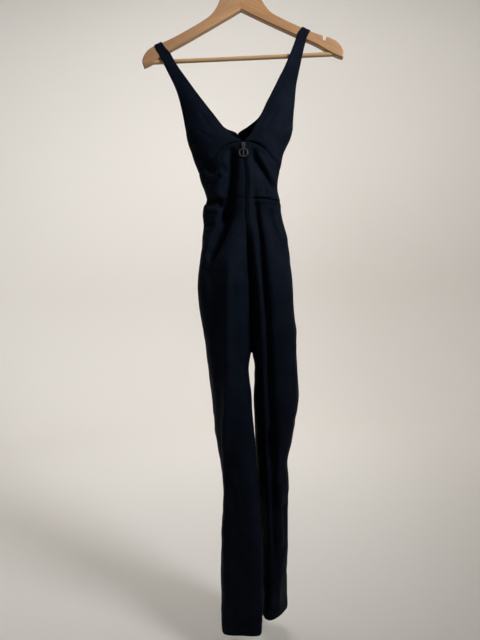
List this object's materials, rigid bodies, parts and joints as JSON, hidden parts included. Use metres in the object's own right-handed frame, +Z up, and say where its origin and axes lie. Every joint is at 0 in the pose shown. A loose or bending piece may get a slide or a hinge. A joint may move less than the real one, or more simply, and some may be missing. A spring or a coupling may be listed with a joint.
{
  "type": "jumpsuit on a coat hanger",
  "caption": "Sleeveless plunge-neck zip-front jumpsuit with long straight legs, hanging by its straps on a wooden coat hanger.",
  "frame": {"origin": "inside top of the hanger's hook, where a rail or wall hook bears", "axes": "+Z up, -Y the front with the zip, +X to the right of someone who looks at the front"},
  "size_m": [0.4469, 0.1852, 1.4976],
  "materials": {
    "stretch_knit": "matte dense stretch knit, near-black navy",
    "zip_tape": "woven tape with a fine black chain",
    "dark_metal": "dark gunmetal plating",
    "beech_wood": "clear satin varnish",
    "hook_steel": "polished nickel plate"
  },
  "bodies": {
    "jumpsuit": {"bust_front_l": "stretch_knit", "bust_front_r": "stretch_knit", "back_upper_l": "stretch_knit", "back_upper_r": "stretch_knit", "midriff_front_l": "stretch_knit", "midriff_front_r": "stretch_knit", "midriff_back": "stretch_knit", "pants_front_l": "stretch_knit", "pants_front_r": "stretch_knit", "pants_back_l": "stretch_knit", "pants_back_r": "stretch_knit", "zip_tape": "zip_tape", "zip_slider": "dark_metal", "hanger_arm_l": "beech_wood", "hanger_arm_r": "beech_wood", "hanger_bar": "beech_wood", "hanger_hook": "hook_steel"},
    "zip_pull": {"zip_pull": "dark_metal"}
  },
  "joints": [
    {"name": "zip_pull_hinge", "type": "hinge", "parent": "jumpsuit", "child": "zip_pull", "pos_m": [-0.00109, -0.05027, -0.4522], "axis": [-1, 0, 0], "range_deg": [0, 150]}
  ]
}
